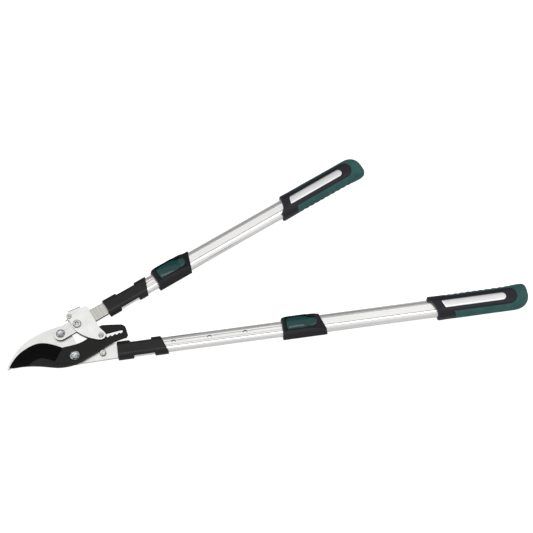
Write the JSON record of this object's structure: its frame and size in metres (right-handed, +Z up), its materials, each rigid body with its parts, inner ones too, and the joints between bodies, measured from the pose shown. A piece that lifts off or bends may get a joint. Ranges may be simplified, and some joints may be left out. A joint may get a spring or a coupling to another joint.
{
  "type": "bypass loppers",
  "caption": "Telescopic ratchet bypass loppers: hooked steel counter blade, black curved cutting blade driven by a pawl linkage, oval tube handles with release buttons and soft grips.",
  "frame": {"origin": "middle of the bounding box in plan, on the surface that the loppers lie on", "axes": "+X along the lower handle from the jaws to the grip, +Y towards the upper handle, +Z up out of the plane that the blades move in"},
  "size_m": [0.9004, 0.3296, 0.0364],
  "materials": {
    "steel_plate": "satin ground and nickel plated",
    "blade_coating": "satin black non-stick coating",
    "bright_fastener": "bright zinc plated",
    "rivet_steel": "satin turned steel",
    "spring_steel": "dark drawn spring wire",
    "collar_plastic": "fine grained black nylon",
    "inner_aluminium": "satin anodised",
    "outer_aluminium": "satin anodised",
    "housing_plastic": "fine grained black nylon",
    "button_plastic": "dark green, semi gloss",
    "grip_plastic": "black, fine grained",
    "grip_rubber": "dark green thermoplastic rubber",
    "inlay_aluminium": "brushed lengthwise",
    "nylon": "plain black nylon"
  },
  "bodies": {
    "head": {"hook_plate": "steel_plate", "blade_pivot_bolt": "bright_fastener", "blade_pivot_nut": "bright_fastener", "blade_pivot_washers": "bright_fastener", "lever_pivot_bolt": "bright_fastener", "lever_pivot_nut": "bright_fastener", "lever_pivot_washers": "bright_fastener", "blade_stop_rivet": "rivet_steel", "lower_collar": "collar_plastic", "lower_inner_tube": "inner_aluminium", "lower_tang_rivets": "rivet_steel", "lower_guide_plug": "nylon"},
    "blade": {"cutting_blade": "blade_coating"},
    "lever": {"lever_bar": "steel_plate", "pawl_pivot_pin": "rivet_steel", "upper_collar": "collar_plastic", "upper_inner_tube": "inner_aluminium", "upper_tang_rivets": "rivet_steel", "upper_guide_plug": "nylon"},
    "pawl": {"pawl_cheeks": "steel_plate", "pawl_spring": "spring_steel", "pawl_stop_pin": "rivet_steel", "ratchet_pin": "rivet_steel"},
    "lower_outer": {"lower_outer_tube": "outer_aluminium", "lower_latch_housing": "housing_plastic", "lower_housing_screws": "bright_fastener", "lower_button_pivot_pin": "rivet_steel", "lower_button_spring": "spring_steel", "lower_grip_core": "grip_plastic", "lower_grip_pad": "grip_rubber", "lower_grip_inlay": "inlay_aluminium"},
    "upper_outer": {"upper_outer_tube": "outer_aluminium", "upper_latch_housing": "housing_plastic", "upper_housing_screws": "bright_fastener", "upper_button_pivot_pin": "rivet_steel", "upper_button_spring": "spring_steel", "upper_grip_core": "grip_plastic", "upper_grip_pad": "grip_rubber", "upper_grip_inlay": "inlay_aluminium"},
    "lower_button": {"lower_release_button": "button_plastic"},
    "upper_button": {"upper_release_button": "button_plastic"}
  },
  "joints": [
    {"name": "lever_pivot", "type": "hinge", "parent": "head", "child": "lever", "pos_m": [-0.35557, -0.09974, 0.0125], "axis": [0, 0, 1], "range_deg": [0, 50]},
    {"name": "blade_pivot", "type": "hinge", "parent": "head", "child": "blade", "pos_m": [-0.33447, -0.14274, 0.0125], "axis": [0, 0, 1], "range_deg": [0, 28.5]},
    {"name": "pawl_pivot", "type": "hinge", "parent": "lever", "child": "pawl", "pos_m": [-0.32598, -0.08726, 0.0125], "axis": [0, 0, 1], "range_deg": [-49, 0]},
    {"name": "lower_handle_slide", "type": "slide", "parent": "head", "child": "lower_outer", "axis": [-1, 0, 0], "range_m": [0, 0.1836]},
    {"name": "upper_handle_slide", "type": "slide", "parent": "lever", "child": "upper_outer", "axis": [0.9114, 0.4115, 0], "range_m": [0, 0.1836]},
    {"name": "lower_button_rock", "type": "hinge", "parent": "lower_outer", "child": "lower_button", "pos_m": [0.04693, -0.14354, 0.0264], "axis": [0, 1, 0], "range_deg": [0, 4], "stiffness_Nm_per_rad": 2, "springref_deg": -2.86},
    {"name": "upper_button_rock", "type": "hinge", "parent": "upper_outer", "child": "upper_button", "pos_m": [-0.16044, -0.01164, 0.0264], "axis": [-0.4115, 0.9114, 0], "range_deg": [0, 4], "stiffness_Nm_per_rad": 2, "springref_deg": -2.86}
  ],
  "couplings": [
    {"joint": "blade_pivot", "follows": "lever_pivot", "ratio": 0.57},
    {"joint": "pawl_pivot", "follows": "lever_pivot", "ratio": -0.98}
  ]
}
